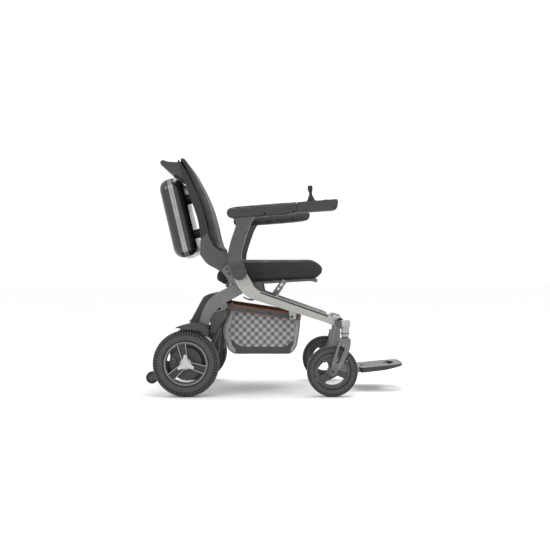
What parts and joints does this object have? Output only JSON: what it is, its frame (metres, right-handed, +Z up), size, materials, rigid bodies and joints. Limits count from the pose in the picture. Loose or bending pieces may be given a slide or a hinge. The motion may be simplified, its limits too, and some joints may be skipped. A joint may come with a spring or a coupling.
{
  "type": "power wheelchair",
  "caption": "Folding electric wheelchair with tilting seat, raised footplate, driven rear wheels, front casters, under-seat basket and joystick.",
  "frame": {"origin": "centre of the bounding box on the floor", "axes": "+X towards the front of the chair, +Y to the left of the sitter, +Z up"},
  "size_m": [1.039, 0.6, 0.945],
  "materials": {
    "silver_frame": "satin warm silver paint",
    "grey_frame": "satin mid-grey paint",
    "dark_frame": "satin dark grey paint",
    "black_metal": "black powder coat",
    "bright_steel": "bright steel",
    "dark_plastic": "fine-grained dark plastic",
    "grey_plastic": "satin grey plastic",
    "pod_plastic": "glossy brown-black plastic",
    "pod_band": "satin aluminium",
    "hub_silver": "silver lacquered plastic",
    "tyre_rubber": "ribbed grey-black tyre rubber",
    "soft_rubber": "matt black rubber",
    "blue_grey_rail": "satin blue-grey paint",
    "brown_trim": "brown leather strip",
    "mesh_fabric": "quilted grey mesh cloth",
    "seat_fabric": "black woven upholstery",
    "pad_leather": "black padded leather"
  },
  "bodies": {
    "chassis": {"side_beams": "silver_frame", "cross_tubes": "dark_frame", "head_blocks": "black_metal", "head_tubes": "silver_frame", "footrest_hanger": "grey_frame", "frame_brackets": "grey_frame", "uprights": "grey_frame", "pins_and_stops": "black_metal"},
    "fold_release": {"fold_lever": "dark_plastic"},
    "rear_frame": {"rear_legs": "grey_frame", "rear_cross_tube": "dark_frame", "power_housing": "dark_plastic", "mudguards": "dark_plastic", "shock_bodies": "black_metal"},
    "cargo_frame": {"cargo_rails": "blue_grey_rail", "rail_trims": "brown_trim", "basket": "mesh_fabric"},
    "seat": {"seat_cushion": "seat_fabric", "seat_pan": "grey_frame"},
    "tilt_strut": {"tilt_struts": "black_metal"},
    "backrest": {"back_shell": "dark_plastic", "back_pad": "pad_leather", "back_brackets": "grey_frame", "push_handle": "dark_plastic", "pod_shells": "pod_plastic", "pod_band": "pod_band"},
    "armrest_left": {"arm_left": "grey_frame", "arm_pad_left": "pad_leather"},
    "armrest_right": {"arm_right": "grey_frame", "arm_pad_right": "pad_leather", "controller": "dark_plastic"},
    "stick_gimbal": {"joystick_gimbal": "bright_steel"},
    "stick": {"joystick": "soft_rubber", "joystick_boot": "soft_rubber"},
    "power_key": {"power_button": "grey_plastic"},
    "footrest": {"footplate": "grey_frame"},
    "swing_left": {"swing_arm_left": "black_metal", "motor_left": "dark_frame", "shock_rod_left": "bright_steel", "anti_tip_arm_left": "black_metal"},
    "clutch_left": {"clutch_knob_left": "dark_plastic"},
    "drive_wheel_left": {"drive_tyre_left": "tyre_rubber", "drive_rim_left": "grey_plastic", "hub_cap_left": "hub_silver"},
    "anti_tip_left": {"anti_tip_wheel_left": "soft_rubber"},
    "caster_left": {"caster_fork_left": "grey_frame"},
    "caster_wheel_left": {"caster_tyre_left": "tyre_rubber", "caster_rim_left": "grey_plastic"},
    "swing_right": {"swing_arm_right": "black_metal", "motor_right": "dark_frame", "shock_rod_right": "bright_steel", "anti_tip_arm_right": "black_metal"},
    "clutch_right": {"clutch_knob_right": "dark_plastic"},
    "drive_wheel_right": {"drive_tyre_right": "tyre_rubber", "drive_rim_right": "grey_plastic", "hub_cap_right": "hub_silver"},
    "anti_tip_right": {"anti_tip_wheel_right": "soft_rubber"},
    "caster_right": {"caster_fork_right": "grey_frame"},
    "caster_wheel_right": {"caster_tyre_right": "tyre_rubber", "caster_rim_right": "grey_plastic"}
  },
  "joints": [
    {"name": "main_fold", "type": "hinge", "parent": "chassis", "child": "rear_frame", "pos_m": [-0.1265, 0, 0.428], "axis": [0, -1, 0], "range_deg": [0, 40]},
    {"name": "cargo_level", "type": "hinge", "parent": "rear_frame", "child": "cargo_frame", "pos_m": [-0.2105, 0, 0.351], "axis": [0, -1, 0], "range_deg": [-33, 0]},
    {"name": "fold_release_pull", "type": "hinge", "parent": "chassis", "child": "fold_release", "pos_m": [-0.0885, -0.24, 0.384], "axis": [0, -1, 0], "range_deg": [0, 8], "stiffness_Nm_per_rad": 2, "springref_deg": -5.73},
    {"name": "seat_tilt", "type": "hinge", "parent": "chassis", "child": "seat", "pos_m": [-0.0735, 0, 0.432], "axis": [0, -1, 0], "range_deg": [0, 12]},
    {"name": "strut_swing", "type": "hinge", "parent": "seat", "child": "tilt_strut", "pos_m": [0.0275, 0, 0.447], "axis": [0, -1, 0], "range_deg": [0, 1.5]},
    {"name": "backrest_fold", "type": "hinge", "parent": "chassis", "child": "backrest", "pos_m": [-0.1585, 0, 0.5], "axis": [0, 1, 0], "range_deg": [0, 90]},
    {"name": "armrest_left_flip", "type": "hinge", "parent": "chassis", "child": "armrest_left", "pos_m": [-0.1475, 0.272, 0.483], "axis": [0, -1, 0], "range_deg": [0, 100]},
    {"name": "armrest_right_flip", "type": "hinge", "parent": "chassis", "child": "armrest_right", "pos_m": [-0.1475, -0.272, 0.483], "axis": [0, -1, 0], "range_deg": [0, 100]},
    {"name": "stick_side", "type": "hinge", "parent": "armrest_right", "child": "stick_gimbal", "pos_m": [0.1333, -0.272, 0.75143], "axis": [0.9968, 0, 0.0797], "range_deg": [-18, 18], "stiffness_Nm_per_rad": 0.6},
    {"name": "stick_forward", "type": "hinge", "parent": "stick_gimbal", "child": "stick", "pos_m": [0.1333, -0.272, 0.75143], "axis": [0, 1, 0], "range_deg": [-18, 18], "stiffness_Nm_per_rad": 0.6, "deforming": ["joystick_boot"]},
    {"name": "power_key_press", "type": "slide", "parent": "armrest_right", "child": "power_key", "axis": [0.0797, 0, -0.9968], "range_m": [0, 0.0015], "stiffness_N_per_m": 400, "springref_m": -0.001},
    {"name": "footplate_flip", "type": "hinge", "parent": "chassis", "child": "footrest", "pos_m": [0.3285, 0, 0.085], "axis": [0, -1, 0], "range_deg": [0, 90]},
    {"name": "suspension_left", "type": "hinge", "parent": "rear_frame", "child": "swing_left", "pos_m": [-0.2485, 0.235, 0.15], "axis": [0, 1, 0], "range_deg": [0, 5], "stiffness_Nm_per_rad": 200, "springref_deg": -11.46},
    {"name": "clutch_turn_left", "type": "hinge", "parent": "swing_left", "child": "clutch_left", "pos_m": [-0.4055, 0.27, 0.141], "axis": [0, 1, 0], "range_deg": [0, 90]},
    {"name": "drive_spin_left", "type": "hinge", "parent": "swing_left", "child": "drive_wheel_left", "pos_m": [-0.3555, 0.27, 0.13], "axis": [0, 1, 0], "continuous": true},
    {"name": "anti_tip_spin_left", "type": "hinge", "parent": "swing_left", "child": "anti_tip_left", "pos_m": [-0.4955, 0.213, 0.069], "axis": [0, 1, 0], "continuous": true},
    {"name": "caster_swivel_left", "type": "hinge", "parent": "chassis", "child": "caster_left", "pos_m": [0.2655, 0.265, 0.25], "axis": [0, 0, 1], "continuous": true},
    {"name": "caster_spin_left", "type": "hinge", "parent": "caster_left", "child": "caster_wheel_left", "pos_m": [0.2155, 0.265, 0.1], "axis": [0, 1, 0], "continuous": true},
    {"name": "suspension_right", "type": "hinge", "parent": "rear_frame", "child": "swing_right", "pos_m": [-0.2485, -0.235, 0.15], "axis": [0, 1, 0], "range_deg": [0, 5], "stiffness_Nm_per_rad": 200, "springref_deg": -11.46},
    {"name": "clutch_turn_right", "type": "hinge", "parent": "swing_right", "child": "clutch_right", "pos_m": [-0.4055, -0.27, 0.141], "axis": [0, -1, 0], "range_deg": [0, 90]},
    {"name": "drive_spin_right", "type": "hinge", "parent": "swing_right", "child": "drive_wheel_right", "pos_m": [-0.3555, -0.27, 0.13], "axis": [0, 1, 0], "continuous": true},
    {"name": "anti_tip_spin_right", "type": "hinge", "parent": "swing_right", "child": "anti_tip_right", "pos_m": [-0.4955, -0.213, 0.069], "axis": [0, 1, 0], "continuous": true},
    {"name": "caster_swivel_right", "type": "hinge", "parent": "chassis", "child": "caster_right", "pos_m": [0.2655, -0.265, 0.25], "axis": [0, 0, 1], "continuous": true},
    {"name": "caster_spin_right", "type": "hinge", "parent": "caster_right", "child": "caster_wheel_right", "pos_m": [0.2155, -0.265, 0.1], "axis": [0, 1, 0], "continuous": true}
  ],
  "couplings": [
    {"joint": "cargo_level", "follows": "main_fold", "ratio": -0.817},
    {"joint": "strut_swing", "follows": "seat_tilt", "ratio": 0.11}
  ]
}
